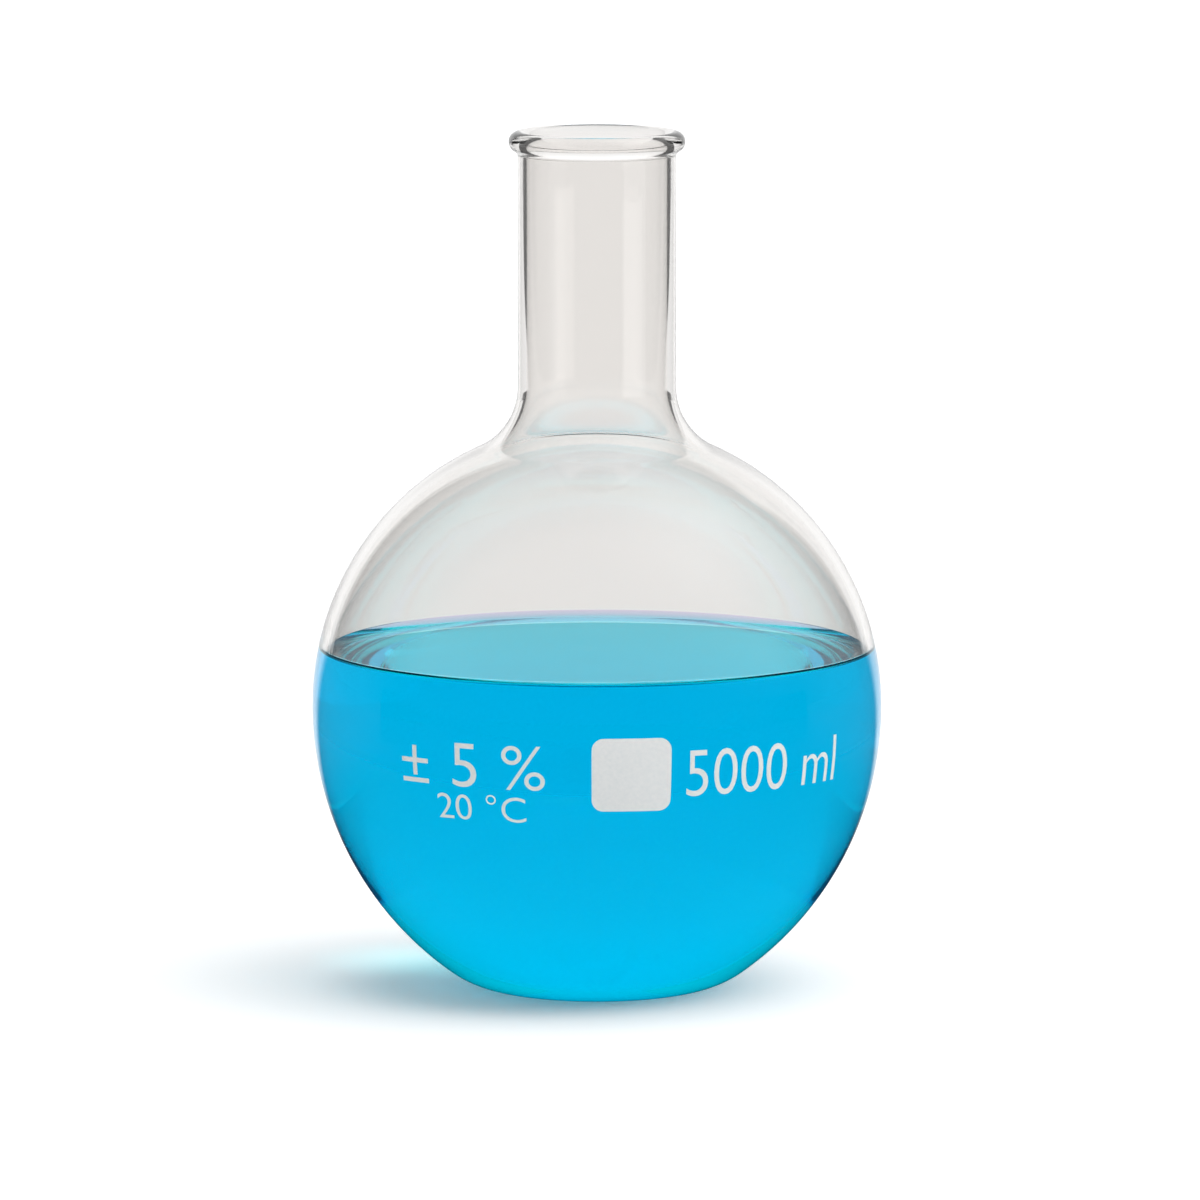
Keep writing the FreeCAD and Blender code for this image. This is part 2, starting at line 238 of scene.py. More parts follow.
glass = start_section("flask_glass", 0, FOOT_KICK)
draw_arc(kick_centre, bearing(kick_centre, (kick_edge, 0)) - 90, DOME_STEPS)
draw_line(FOOT_RING, 0, RING_STEPS)
draw_arc(heel_centre, heel_angle + 90, HEEL_STEPS)
draw_arc(lower_centre, -heel_angle, BODY_STEPS)
draw_arc(ball_centre, shoulder_angle, CROWN_STEPS)
draw_arc(shoulder_centre, -shoulder_angle, SHOULDER_STEPS)
draw_line(0, root_centre[1] - shoulder_centre[1], NECK_STEPS)
draw_arc(root_centre, root_angle - 180, ROOT_STEPS)
draw_arc(bead_centre, 270 - root_angle, BEAD_STEPS)
draw_arc(lip_centre, 90, LIP_STEPS)
draw_line(0, hollow_centre[1] - lip_centre[1], NECK_STEPS)
draw_arc(hollow_centre, hollow_angle, SHOULDER_STEPS)
draw_arc(ball_centre, contact_angle - hollow_angle, INNER_STEPS)
draw_arc(ball_centre, -contact_angle, WETTED_STEPS)
draw_arc(lower_centre, inner_heel_angle, INNER_STEPS)
draw_arc(inner_heel_centre, floor_angle - 180 - inner_heel_angle, HEEL_STEPS)
draw_arc(floor_centre, 90 - floor_angle, DOME_STEPS)
spin_section(glass, SEGMENTS)
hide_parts("flask")
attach(glass, "root")

# %% [markdown]
# Light bends once where glass meets liquid. Two skins that only touch would leave a film of air that
# mirrors, so the liquid is made a tenth of a millimetre too large and its skin lies inside the wall. Its top
# is level and climbs the wall in a small hollow curve, the meniscus, which draws the dark line round the
# edge, deepened by painted shade: a tint on those faces, set with the liquid's finish.

# %% The liquid
OVERLAP = 0.1 * MM
MENISCUS_STEPS = 16
TOP_STEPS = 10
level = EQUATOR_HEIGHT + FILL_HEIGHT
contact_across = math.sqrt(inner_radius**2 - contact_rise**2)
edge_across = contact_across - math.sqrt(MENISCUS_RADIUS**2 - (MENISCUS_RADIUS - MENISCUS_CLIMB) ** 2)
edge_centre = (edge_across, level + MENISCUS_RADIUS)
contact = meeting(ball_centre, inner_radius + OVERLAP, edge_centre, MENISCUS_RADIUS)

liquid = start_section("blue_liquid", 0, FOOT_KICK + FOOT_GLASS - OVERLAP)
draw_arc(floor_centre, floor_angle - 90, DOME_STEPS)
draw_arc(inner_heel_centre, inner_heel_angle + 180 - floor_angle, HEEL_STEPS)
draw_arc(lower_centre, -inner_heel_angle, INNER_STEPS)
draw_arc(ball_centre, bearing(ball_centre, contact), WETTED_STEPS)
draw_arc(edge_centre, -90 - bearing(edge_centre, contact), MENISCUS_STEPS)
draw_line(-edge_across, 0, TOP_STEPS)
spin_section(liquid, SEGMENTS)
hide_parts("liquid")
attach(liquid, "root")

# %% [markdown]
# The white marks are enamel, fired onto the front of the body: a blank panel to write on, the capacity, and
# two small generic marks. Each is made flat first. A grid of cuts then gives it enough points to follow the
# ball, one modifier bends it round the axis, one lays it on the glass, and one gives it the thickness of a
# coat of enamel.

# %% Laying a flat mark on the ball
ENAMEL = 0.1 * MM
ENAMEL_LIFT = 0.6 * ENAMEL
GRID = 3.0 * MM


def cut_in_grid(mark):
    """Upright and level cuts through the flat mark, so that it can follow the ball."""
    low = [min(v.co[axis] for v in mark.data.vertices) for axis in range(3)]
    high = [max(v.co[axis] for v in mark.data.vertices) for axis in range(3)]
    bpy.ops.object.mode_set(mode="EDIT")
    for axis, normal in ((0, (1, 0, 0)), (2, (0, 0, 1))):
        for step in range(1, math.ceil((high[axis] - low[axis]) / GRID)):
            place = [0.0, -BODY_RADIUS, 0.0]
            place[axis] = low[axis] + step * GRID
            place[2] += EQUATOR_HEIGHT
            bpy.ops.mesh.select_all(action="SELECT")
            bpy.ops.mesh.bisect(plane_co=place, plane_no=normal)
    bpy.ops.object.mode_set(mode="OBJECT")
    return high[0] - low[0]


def lay_on_ball(mark):
    """Bends the flat mark round the axis, presses it on the ball and thickens it."""
    width = cut_in_grid(mark)
    bend = mark.modifiers.new("bend", "SIMPLE_DEFORM")
    bend.deform_method = "BEND"
    bend.deform_axis = "Z"
    bend.angle = width / BODY_RADIUS
    bpy.ops.object.modifier_apply(modifier="bend")
    press = mark.modifiers.new("press", "SHRINKWRAP")
    press.target = glass
    press.wrap_method = "NEAREST_SURFACEPOINT"
    press.wrap_mode = "ABOVE_SURFACE"
    press.offset = ENAMEL_LIFT
    bpy.ops.object.modifier_apply(modifier="press")
    coat = mark.modifiers.new("coat", "SOLIDIFY")
    coat.thickness = ENAMEL
    coat.offset = 0
    bpy.ops.object.modifier_apply(modifier="coat")
    bpy.ops.object.transform_apply(location=True, rotation=True, scale=True)
    bpy.ops.object.mode_set(mode="EDIT")
    bpy.ops.mesh.select_all(action="SELECT")
    bpy.ops.mesh.normals_make_consistent(inside=False)
    bpy.ops.object.mode_set(mode="OBJECT")
    bpy.ops.object.shade_smooth_by_angle(angle=SHARP_ANGLE)
    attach(mark, "root")
    front = min(corner[1] for corner in mark.bound_box)
    print(mark.name, len(mark.data.polygons), "faces, front at", round(front / MM, 2), "mm")


# %% [markdown]
# The panel is a blank to write on. It starts as a flat plate on the plane that touches the front of the
# ball, and its four corners are rounded before it is laid on the glass.

# %% The writing panel
PANEL_WIDTH = 30.8 * MM
PANEL_HEIGHT = 28.9 * MM
PANEL_CORNER = 4.6 * MM
PANEL_PLACE = (13.4 * MM, -11.6 * MM)
CORNER_STEPS = 8
FRONT = (0, -BODY_RADIUS, EQUATOR_HEIGHT)
UPRIGHT = (math.pi / 2, 0, 0)

deselect()
bpy.ops.mesh.primitive_plane_add(size=1, location=FRONT, rotation=UPRIGHT)
panel = bpy.context.object
panel.name = "writing_panel"
bpy.ops.object.transform_apply(location=False, rotation=True, scale=True)
bpy.ops.object.mode_set(mode="EDIT")
bpy.ops.mesh.select_all(action="SELECT")
bpy.ops.transform.resize(value=(PANEL_WIDTH, 1, PANEL_HEIGHT))
bpy.ops.transform.translate(value=(PANEL_PLACE[0], 0, PANEL_PLACE[1]))
bpy.ops.mesh.bevel(offset=PANEL_CORNER, segments=CORNER_STEPS, affect="VERTICES")
bpy.ops.object.mode_set(mode="OBJECT")
lay_on_ball(panel)

# %% [markdown]
# The figures start as text, which becomes a mesh before it is placed. The strokes are thinned a little, and
# each mark is stretched between its two places along the front, measured from the middle of the ball.

# %% The words and figures
STROKE_OFFSET = -0.006
OUTLINE_STEPS = 5
POINT_GAP = 0.01 * MM


def print_mark(name, text, start, end, middle, height):
    """Flat figures of a given height between two places along the front, laid on the ball."""
    deselect()
    bpy.ops.object.text_add(location=FRONT, rotation=UPRIGHT)
    mark = bpy.context.object
    mark.name = name
    mark.data.body = text
    mark.data.size = 1
    mark.data.resolution_u = OUTLINE_STEPS
    mark.data.offset = STROKE_OFFSET
    bpy.ops.object.convert(target="MESH")
    bpy.ops.object.transform_apply(location=False, rotation=True, scale=True)
    low = [min(v.co[axis] for v in mark.data.vertices) for axis in range(3)]
    high = [max(v.co[axis] for v in mark.data.vertices) for axis in range(3)]
    scale = Vector(((end - start) / (high[0] - low[0]), 1, height / (high[2] - low[2])))
    print(name, "stretched by", round(scale.x / scale.z, 2))
    bpy.ops.object.mode_set(mode="EDIT")
    bpy.ops.mesh.select_all(action="SELECT")
    bpy.ops.transform.translate(value=(-low[0], 0, -(low[2] + high[2]) / 2))
    bpy.ops.transform.resize(value=scale, center_override=FRONT)
    bpy.ops.transform.translate(value=(start, 0, middle))
    bpy.ops.mesh.remove_doubles(threshold=POINT_GAP)
    bpy.ops.object.mode_set(mode="OBJECT")
    lay_on_ball(mark)
    return mark


capacity = print_mark(
    "capacity_mark", "5000 ml", start=35.1 * MM, end=108.6 * MM, middle=-11.5 * MM, height=18.4 * MM
)
tolerance = print_mark(
    "tolerance_mark", "± 5 %", start=-82.0 * MM, end=-20.0 * MM, middle=-9.2 * MM, height=17.4 * MM
)
temperature = print_mark(
    "temperature_mark", "20 °C", start=-66.0 * MM, end=-28.0 * MM, middle=-26.0 * MM, height=11.2 * MM
)
marks = [panel, capacity, tolerance, temperature]

# %% [markdown]
# Every finish is a small tree of nodes. These helpers each add one node and hand back its result, so that a
# tree further down reads like a sum. They take numbers and the results of other nodes alike.

# %% Helpers for the trees of nodes
def feed(tree, socket, value):
    """Links another node's result to a socket, or sets it to a plain value."""
    if isinstance(value, bpy.types.NodeSocket):
        tree.links.new(value, socket)
    else:
        socket.default_value = value


def plain(tree, operation, first, second, third=0.0):
    """A Math node without a clamp."""
    node = tree.nodes.new("ShaderNodeMath")
    node.operation = operation
    for place, value in enumerate((first, second, third)):
        feed(tree, node.inputs[place], value)
    return node.outputs[0]


def maths(tree, operation, first, second):
    """A Math node whose result is clamped to 0 and 1."""
    result = plain(tree, operation, first, second)
    result.node.use_clamp = True
    return result


def map_range(tree, value, low, high, first, last):
    """A soft step of a value between two limits."""
    node = tree.nodes.new("ShaderNodeMapRange")
    node.interpolation_type = "SMOOTHSTEP"
    for name, number in (("From Min", low), ("From Max", high), ("To Min", first), ("To Max", last)):
        node.inputs[name].default_value = number
    tree.links.new(value, node.inputs["Value"])
    return node.outputs["Result"]


def blend(tree, factor, first, second, data_type="FLOAT"):
    """A mix of two numbers, or of two colours with the data type RGBA."""
    node = tree.nodes.new("ShaderNodeMix")
    node.data_type = data_type
    for name, value in (("Factor", factor), ("A", first), ("B", second)):
        feed(tree, node.inputs[name], value)
    return node.outputs["Result"]


def mix_shaders(tree, factor, first, second):
    """A mix of two shaders."""
    node = tree.nodes.new("ShaderNodeMixShader")
    for place, value in enumerate((factor, first, second)):
        tree.links.new(value, node.inputs[place])
    return node.outputs[0]


def split_place(tree, place):
    """The three parts of a place or direction."""
    node = tree.nodes.new("ShaderNodeSeparateXYZ")
    tree.links.new(place, node.inputs[0])
    return node.outputs


def distance(tree, start, end):
    """How far a place is from a point."""
    node = tree.nodes.new("ShaderNodeVectorMath")
    node.operation = "DISTANCE"
    tree.links.new(start, node.inputs[0])
    node.inputs[1].default_value = end
    return node.outputs["Value"]


def object_place(tree):
    """Places on the object itself, in metres."""
    return tree.nodes.new("ShaderNodeTexCoord").outputs["Object"]


def noise(tree, scale, detail):
    """Soft random patches of a given fineness."""
    node = tree.nodes.new("ShaderNodeTexNoise")
    node.inputs["Scale"].default_value = scale
    node.inputs["Detail"].default_value = detail
    tree.links.new(object_place(tree), node.inputs["Vector"])
    return node.outputs["Fac"]


def face_mark(tree, name):
    """A number stored with each face of the mesh."""
    node = tree.nodes.new("ShaderNodeAttribute")
    node.attribute_name = name
    return node.outputs["Fac"]


def add_relief(tree, shader, pattern, height):
    """Lets a pattern raise the surface by up to a given height."""
    node = tree.nodes.new("ShaderNodeBump")
    node.inputs["Distance"].default_value = height
    tree.links.new(pattern, node.inputs["Height"])
    tree.links.new(node.outputs["Normal"], shader.inputs["Normal"])


def new_material(name):
    """A material with a clean tree and its principled shader."""
    material = bpy.data.materials.new(name)
    material.use_nodes = True
    tree = material.node_tree
    return material, tree, tree.nodes["Principled BSDF"]


# %% [markdown]
# Glass shows by what it bends and mirrors. Real lab glass is nearly clear, so the colour set here is only
# what each wall takes from the light. Blown glass is never quite even, which faint waves in its skin give,
# and the foot ring has fine scuffs from the bench. Round the liquid the outer wall also takes some green and
# blue. A loss in the liquid itself would make its middle darker than its sides, and the photo shows it even.

# %% The finishes of the glass
CLEAR = (1, 1, 1, 1)
GLASS_TINT = (0.955, 0.938, 0.921, 1)
WALL_TINT = (0.93, 0.5, 0.79, 1)
GLASS_IOR = 1.473
LIQUID_IOR = 1.333
WAVES = 9.0
WAVE_DETAIL = 1.0
WAVE_HEIGHT = 0.35 * MM
SCUFF_HEIGHT = 0.8 * MM
SCUFF_ROUGHNESS = 0.6
SCUFF_GRAIN = 900.0
SCUFF_DETAIL = 2.0


def clear_finish(name, ior, tint):
    """A perfectly clear finish that bends light and has its own tint."""
    finish, tree, shader = new_material(name)
    shader.inputs["Base Color"].default_value = tint
    shader.inputs["Roughness"].default_value = 0.0
    shader.inputs["IOR"].default_value = ior
    shader.inputs["Transmission Weight"].default_value = 1.0
    return finish, tree, shader


def add_scuffs(tree, shader):
    """Fine scuffs on the lowest millimetre, where the foot ring slides on a bench."""
    low = tree.nodes.new("ShaderNodeMapRange")
    low.inputs["From Min"].default_value = SCUFF_HEIGHT
    low.inputs["From Max"].default_value = 0.0
    tree.links.new(split_place(tree, object_place(tree))["Z"], low.inputs["Value"])
    wear = plain(tree, "MULTIPLY", low.outputs["Result"], noise(tree, SCUFF_GRAIN, SCUFF_DETAIL))
    tree.links.new(plain(tree, "MULTIPLY", wear, SCUFF_ROUGHNESS), shader.inputs["Roughness"])


dry_glass, tree, shader = clear_finish("clear_glass", GLASS_IOR, GLASS_TINT)
add_relief(tree, shader, noise(tree, WAVES, WAVE_DETAIL), WAVE_HEIGHT)
wetted_glass, tree, shader = clear_finish("wetted_glass", GLASS_IOR / LIQUID_IOR, CLEAR)
around_liquid, tree, shader = clear_finish("glass_around_liquid", GLASS_IOR, WALL_TINT)
add_relief(tree, shader, noise(tree, WAVES, WAVE_DETAIL), WAVE_HEIGHT)
add_scuffs(tree, shader)
print("glass against air", GLASS_IOR, "and against liquid", round(GLASS_IOR / LIQUID_IOR, 3))

# %% [markdown]
# The glass has three kinds of face. Dry ones bend light between glass and air. Wetted ones inside bend it
# between glass and liquid, so they get the ratio of the two. The outer wall round the liquid has the tint.

# %% Which face gets which finish
DRY, WETTED, AROUND = range(3)
middle = Vector((0, 0, EQUATOR_HEIGHT))
glass.data.materials.clear()
for finish in (dry_glass, wetted_glass, around_liquid):
    glass.data.materials.append(finish)
for face in glass.data.polygons:
    faces_in = face.normal.dot(middle - face.center) > 0
    below_contact = face.center.z < EQUATOR_HEIGHT + contact_rise
    if below_contact:
        face.material_index = WETTED if faces_in else AROUND
    else:
        face.material_index = DRY
print(sum(face.material_index == WETTED for face in glass.data.polygons), "faces of the glass are wetted")

# %% [markdown]
# The liquid is dyed water. The dye takes the red out of light on its way through. An even faint blue glow
# is painted into it as well, painted light in place of what the dye scatters back, as bright in shade as in
# light. Only its open top bends light. At the wall the glass already does, so the liquid's own skin there
# lets light pass straight on. One finish does both, with a number stored on each face, because a volume has
# to be entered and left through the same finish.

# %% The blue liquid
DYE_COLOR = (0.0, 0.996, 0.999, 1)
DYE_DENSITY = 150.0
PAINTED_GLOW_COLOR = (0.0, 0.63, 1.0, 1)
PAINTED_GLOW_STRENGTH = 0.35
RIPPLES = 14.0
RIPPLE_HEIGHT = 0.05 * MM
MENISCUS_SHADE_TINT = (0.68, 0.98, 0.93, 1)
LEVEL_ENOUGH = 0.9


def add_dye(tree):
    """Takes the red out of light that goes through, and adds an even blue glow as painted light."""
    dye = tree.nodes.new("ShaderNodeVolumeAbsorption")
    dye.inputs["Color"].default_value = DYE_COLOR
    dye.inputs["Density"].default_value = DYE_DENSITY
    # Painted light: an even blue emission through the liquid, which glows in shade as much as in light.
    glow = tree.nodes.new("ShaderNodeEmission")
    glow.inputs["Color"].default_value = PAINTED_GLOW_COLOR
    glow.inputs["Strength"].default_value = PAINTED_GLOW_STRENGTH
    both = tree.nodes.new("ShaderNodeAddShader")
    tree.links.new(dye.outputs[0], both.inputs[0])
    tree.links.new(glow.outputs[0], both.inputs[1])
    tree.links.new(both.outputs[0], tree.nodes["Material Output"].inputs["Volume"])


liquid_finish, tree, shader = clear_finish("blue_water", LIQUID_IOR, CLEAR)
add_dye(tree)
add_relief(tree, shader, noise(tree, RIPPLES, WAVE_DETAIL), RIPPLE_HEIGHT)
liquid_ior = plain(tree, "MULTIPLY_ADD", face_mark(tree, "open_top"), LIQUID_IOR - 1, 1)
tree.links.new(liquid_ior, shader.inputs["IOR"])
# Painted shade: the faces where the top climbs the wall take red out of light, which darkens the edge band.
meniscus_shade = blend(tree, face_mark(tree, "climbing"), CLEAR, MENISCUS_SHADE_TINT, "RGBA")
tree.links.new(meniscus_shade, shader.inputs["Base Color"])
liquid.data.materials.clear()
liquid.data.materials.append(liquid_finish)

open_top = liquid.data.attributes.new("open_top", "FLOAT", "FACE")
climbing = liquid.data.attributes.new("climbing", "FLOAT", "FACE")
for face in liquid.data.polygons:
    across = math.hypot(face.center.x, face.center.y)
    rise = face.center.z - EQUATOR_HEIGHT
    off_wall = math.hypot(across, rise) < inner_radius - OVERLAP
    if rise > 0 and (off_wall or face.normal.z > LEVEL_ENOUGH):
        open_top.data[face.index].value = 1
        climbing.data[face.index].value = across > edge_across
print(sum(mark.value > 0 for mark in open_top.data), "faces of the liquid are open surface")

# %% [markdown]
# Fired enamel is a fine powder melted to a coat: white, half matt, thinner and thicker from grain to grain.
# One noise gives both the colour and the tiny relief, so that the thick grains are also the high ones.

# %% The enamel
ENAMEL_THIN = (0.77, 0.81, 0.82, 1)
ENAMEL_THICK = (0.91, 0.92, 0.91, 1)
ENAMEL_ROUGHNESS = 0.45
ENAMEL_GRAIN = 700.0
ENAMEL_DETAIL = 3.0
ENAMEL_RELIEF = 0.02 * MM
enamel_finish, tree, shader = new_material("white_enamel")
shader.inputs["Roughness"].default_value = ENAMEL_ROUGHNESS
grain = noise(tree, ENAMEL_GRAIN, ENAMEL_DETAIL)
add_relief(tree, shader, grain, ENAMEL_RELIEF)
tree.links.new(blend(tree, grain, ENAMEL_THIN, ENAMEL_THICK, "RGBA"), shader.inputs["Base Color"])
for mark in marks:
    mark.data.materials.clear()
    mark.data.materials.append(enamel_finish)
print(len(marks), "marks have the enamel")

# %% [markdown]
# Clear glass has no look of its own: it shows the room. In the photo that is a wide white panel behind, with
# dark room to its sides, whose images make the dark lines in the neck and at the edge of the ball. So the
# floor and the sky answer each kind of ray with its own brightness: seen by the camera, through glass,
# mirrored on glass, or mirrored inside it. Light that falls on the floor or lights the enamel is none of
# these, and takes the plain floor and sky. The glass and the liquid keep honest materials throughout. A
# ray's depth counts whole steps, so each limit lies half way between two counts.

# %% The kinds of rays
NO_STEP = 0.5
DRY_WALLS = 5.5


def ray_kinds(tree):
    """Ones for what glass lets through to the camera, what it mirrors, and what was also mirrored inside it.

    The last comes in two: all of it, and the part that met only dry glass, which has crossed fewer walls
    than light that went through the liquid.
    """
    path = tree.nodes.new("ShaderNodeLightPath").outputs
    direct = maths(tree, "LESS_THAN", path["Diffuse Depth"], NO_STEP)
    through = maths(tree, "MULTIPLY", path["Is Transmission Ray"], direct)
    mirrored = maths(tree, "SUBTRACT", path["Is Glossy Ray"], path["Is Transmission Ray"])
    inside = maths(tree, "MULTIPLY", through, path["Glossy Depth"])
    few_walls = maths(tree, "LESS_THAN", path["Transmission Depth"], DRY_WALLS)
    return {
        "camera": path["Is Camera Ray"],
        "through": through,
        "mirrored": maths(tree, "MULTIPLY", mirrored, direct),
        "inside": inside,
        "inside_dry": maths(tree, "MULTIPLY", inside, few_walls),
    }


# %% [markdown]
# The floor is a wide white disc, a fifth of a millimetre below the foot. To the camera it is lifted to plain
# white, less so round a point just left of the foot, which keeps the shadow and deepens it with painted
# shade, and with a painted blue patch of light on the left, in place of the light the flask throws.

# %% Floor
FLOOR_RADIUS = 12.0
FLOOR_CORNERS = 64
FLOOR_GAP = 0.2 * MM
FLOOR_WHITE = (0.9, 0.9, 0.9, 1)
LIFT_IN_PAINTED_SHADE = 0.12
FAR_LIFT = 0.32
PAINTED_SHADE_CENTRE = (-0.03, 0.0, 0.0)
PAINTED_SHADE_REACH = (0.045, 0.09)
PAINTED_CAUSTIC_SPOT = (-0.068, 0.06, 0.0)
PAINTED_CAUSTIC_COLOR = (0.05, 0.27, 0.28)
PAINTED_CAUSTIC_REACH = 0.055
deselect()
bpy.ops.mesh.primitive_circle_add(
    vertices=FLOOR_CORNERS, radius=FLOOR_RADIUS, fill_type="NGON", location=(0, 0, -FLOOR_GAP)
)
floor = bpy.context.object
floor.name = "floor"

floor_finish, tree, shader = new_material("white_floor")
floor.data.materials.append(floor_finish)
shader.inputs["Base Color"].default_value = FLOOR_WHITE
shader.inputs["Roughness"].default_value = 1.0
shader.inputs["Specular IOR Level"].default_value = 0.0
kinds = ray_kinds(tree)
on_floor = object_place(tree)
# Painted shade: the lift is smaller round a point just left of the foot, deepening its shadow there.
lift_with_painted_shade = map_range(tree, distance(tree, on_floor, PAINTED_SHADE_CENTRE), *PAINTED_SHADE_REACH, LIFT_IN_PAINTED_SHADE, FAR_LIFT)
# Painted light: a blue patch on the floor left of the foot, in place of light the liquid bends onto it.
lift_and_painted_caustic = tree.nodes.new("ShaderNodeCombineColor")
for name, amount in zip(("Red", "Green", "Blue"), PAINTED_CAUSTIC_COLOR):
    painted_caustic = map_range(tree, distance(tree, on_floor, PAINTED_CAUSTIC_SPOT), 0.0, PAINTED_CAUSTIC_REACH, amount, 0)
    tree.links.new(plain(tree, "ADD", lift_with_painted_shade, painted_caustic), lift_and_painted_caustic.inputs[name])
tree.links.new(lift_and_painted_caustic.outputs[0], shader.inputs["Emission Color"])
tree.links.new(kinds["camera"], shader.inputs["Emission Strength"])
print("floor radius", FLOOR_RADIUS, "m")

# %% [markdown]
# Through the glass the floor is mostly an even white. Round the foot it has a brighter pool of painted
# light, for the light the liquid gathers there, a little painted shade right under the flask, and two thin
# rings of painted shadow where the edges of the foot ring touch it. Light that was mirrored inside the
# liquid still finds the real shade right under the flask.

# %% The floor as seen through the glass
THROUGH_SHARE = 0.75
THROUGH_LIGHT = 0.97
PAINTED_POOL_LIGHT = 1.42
PAINTED_POOL_REACH = (0.1, 0.3)
PAINTED_UNDER_SHADE = 0.85
PAINTED_UNDER_REACH = (FOOT_RADIUS, FOOT_RADIUS + 15 * MM)
PAINTED_RING_SHADOW = 0.25
PAINTED_RING_WIDTH = 1.6 * MM
SHADE_REACH = (0.05, 0.11)
away = distance(tree, on_floor, (0, 0, 0))
# Painted light and shade: a bright pool round the foot, a darker floor under it and two dark rings.
pool = map_range(tree, away, *PAINTED_POOL_REACH, PAINTED_POOL_LIGHT, THROUGH_LIGHT)
pool = plain(tree, "MULTIPLY", pool, map_range(tree, away, *PAINTED_UNDER_REACH, PAINTED_UNDER_SHADE, 1))
for ring_radius in (FOOT_RADIUS, kick_edge):
    from_ring = plain(tree, "ABSOLUTE", plain(tree, "SUBTRACT", away, ring_radius), 0.0)
    pool = plain(tree, "MULTIPLY", pool, map_range(tree, from_ring, 0, PAINTED_RING_WIDTH, PAINTED_RING_SHADOW, 1))
white = tree.nodes.new("ShaderNodeEmission")
tree.links.new(pool, white.inputs["Strength"])
in_shade = maths(tree, "MULTIPLY", kinds["inside"], map_range(tree, away, *SHADE_REACH, 1, 0))
share = maths(tree, "MULTIPLY", kinds["through"], maths(tree, "SUBTRACT", THROUGH_SHARE, in_shade))
lit_floor = mix_shaders(tree, share, shader.outputs[0], white.outputs[0])
print("pool of light", PAINTED_POOL_LIGHT, "rings at", [round(v / MM, 1) for v in (FOOT_RADIUS, kick_edge)], "mm")

# %% [markdown]
# Mirrored in the glass, the floor is bright only straight behind the flask and far enough away. To light
# that was mirrored inside dry glass, it is a bright sweep between a left and a right side.

# %% The floor as mirrored in the glass
SMALLEST = 0.001
SWEEP_LEFT = -1.68
SWEEP_RIGHT = 1.72
SWEEP_FADE = 0.08
SWEEP_FRONT = (-1.0, -0.3)
SIDE_LEVEL = 0.08
NEAR_LEVEL = 0.12
AHEAD_SLOPE = (0.5, 0.72)
BEHIND_REACH = (-0.2, 0.3)
FAR_REACH = (0.25, 0.6)
place = split_place(tree, on_floor)
sideways = plain(tree, "ABSOLUTE", place["X"], 0.0)
slope = plain(tree, "DIVIDE", sideways, plain(tree, "MAXIMUM", place["Y"], SMALLEST))
ahead = map_range(tree, slope, *AHEAD_SLOPE, 1, SIDE_LEVEL)
behind = map_range(tree, place["Y"], *BEHIND_REACH, 0, 1)
far = map_range(tree, away, *FAR_REACH, NEAR_LEVEL, 1)
floor_image = maths(tree, "MULTIPLY", maths(tree, "MULTIPLY", behind, far), ahead)
shade = tree.nodes.new("ShaderNodeBsdfDiffuse")
tree.links.new(floor_image, shade.inputs["Color"])
left_part = map_range(tree, place["X"], SWEEP_LEFT - SWEEP_FADE, SWEEP_LEFT + SWEEP_FADE, 0, 1)
right_part = map_range(tree, place["X"], SWEEP_RIGHT - SWEEP_FADE, SWEEP_RIGHT + SWEEP_FADE, 1, 0)
on_sweep = maths(tree, "MULTIPLY", left_part, right_part)
not_front = map_range(tree, place["Y"], *SWEEP_FRONT, 0, 1)
off_sweep = maths(tree, "SUBTRACT", 1.0, maths(tree, "MULTIPLY", on_sweep, not_front))
as_image = maths(tree, "ADD", kinds["mirrored"], maths(tree, "MULTIPLY", kinds["inside_dry"], off_sweep))
whole_floor = mix_shaders(tree, as_image, lit_floor, shade.outputs[0])
tree.links.new(whole_floor, tree.nodes["Material Output"].inputs["Surface"])
print("sweep from", SWEEP_LEFT, "to", SWEEP_RIGHT, "m")

# %% [markdown]
# The sky lights the scene softly from all round, with a wide bright patch high on the right as the main
# light, so the shadow falls to the left. Mirror images see a white panel behind the flask instead, and a
# soft glow high on the right, which gives the pale patch on the shoulder of the ball.

# %% Sky
SKY_LIGHT = 0.5
KEY_FROM = (0.432, -0.184, 0.883)
KEY_SPREAD = 8.0
KEY_LIGHT = 2.9
GLOW_FROM = (0.555, 0.05, 0.833)
GLOW_SPREAD = 8.0
GLOW_LIGHT = 1.3
CEILING_LIGHT = 0.45
CEILING_REACH = (0.5, 0.9)
BACKDROP_LEFT = (-0.74, -0.67)
BACKDROP_LEAN = -0.43
BACKDROP_RIGHT = (0.66, 0.73)
BACKDROP_TOP = (0.70, 0.85)
BACK_REACH = (-0.1, 0.4)
world = bpy.data.worlds.new("studio")
bpy.context.scene.world = world
world.use_nodes = True
tree = world.node_tree
sky = tree.nodes["Background"]
sky.inputs["Color"].default_value = (1, 1, 1, 1)
kinds = ray_kinds(tree)
direction = tree.nodes.new("ShaderNodeTexCoord").outputs["Generated"]
part = split_place(tree, direction)


def lobe(tree, towards, spread, strength):
    """A soft bright patch of the sky in one direction."""
    node = tree.nodes.new("ShaderNodeVectorMath")
    node.operation = "DOT_PRODUCT"
    node.inputs[1].default_value = towards
    tree.links.new(direction, node.inputs[0])
    power = maths(tree, "POWER", maths(tree, "MAXIMUM", node.outputs["Value"], 0.0), spread)
    return plain(tree, "MULTIPLY", power, strength)


